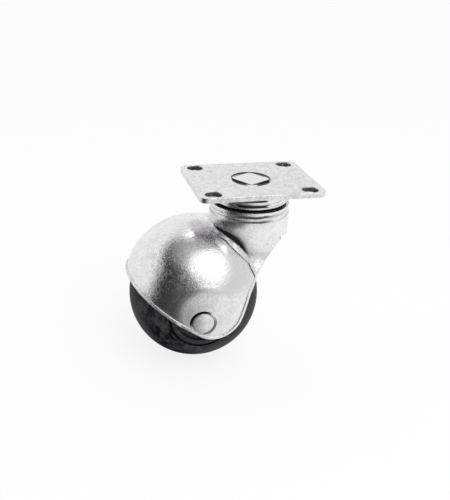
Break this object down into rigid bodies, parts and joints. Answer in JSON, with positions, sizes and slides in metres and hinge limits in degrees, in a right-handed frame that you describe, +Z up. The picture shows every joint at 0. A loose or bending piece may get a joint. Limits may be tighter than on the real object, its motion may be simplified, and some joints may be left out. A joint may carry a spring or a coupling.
{
  "type": "ball castor",
  "caption": "Plate-mounted ball castor: a rectangular fixing plate on a double ball race, a pressed round hood and a ball wheel with a rubber tread.",
  "frame": {"origin": "centre of the fixing plate's top face, on the swivel axis", "axes": "+Z up out of the plate's top face along the swivel axis, +X along the plate's long side, +Y along its short side; the wheel trails towards -X"},
  "size_m": [0.0713, 0.0543, 0.072],
  "materials": {
    "zinc_steel": "bright zinc plate, satin, lightly scuffed",
    "bearing_steel": "polished",
    "rubber": "matt black, dusty",
    "core_plastic": "moulded black"
  },
  "bodies": {
    "base": {"top_plate": "zinc_steel", "kingpin": "zinc_steel", "upper_race_cup": "zinc_steel", "upper_race_balls": "bearing_steel", "lower_race_balls": "bearing_steel", "lower_race_cup": "zinc_steel"},
    "swivel": {"hood": "zinc_steel", "axle_rivet": "zinc_steel", "axle_washers": "zinc_steel", "axle_bush": "zinc_steel"},
    "wheel": {"wheel_core": "core_plastic", "wheel_tyre": "rubber"}
  },
  "joints": [
    {"name": "swivel_turn", "type": "hinge", "parent": "base", "child": "swivel", "pos_m": [0, 0, 0], "axis": [0, 0, 1], "continuous": true},
    {"name": "wheel_spin", "type": "hinge", "parent": "swivel", "child": "wheel", "pos_m": [-0.02068, 0.00166, -0.04665], "axis": [-0.0802, -0.9968, 0], "continuous": true}
  ]
}
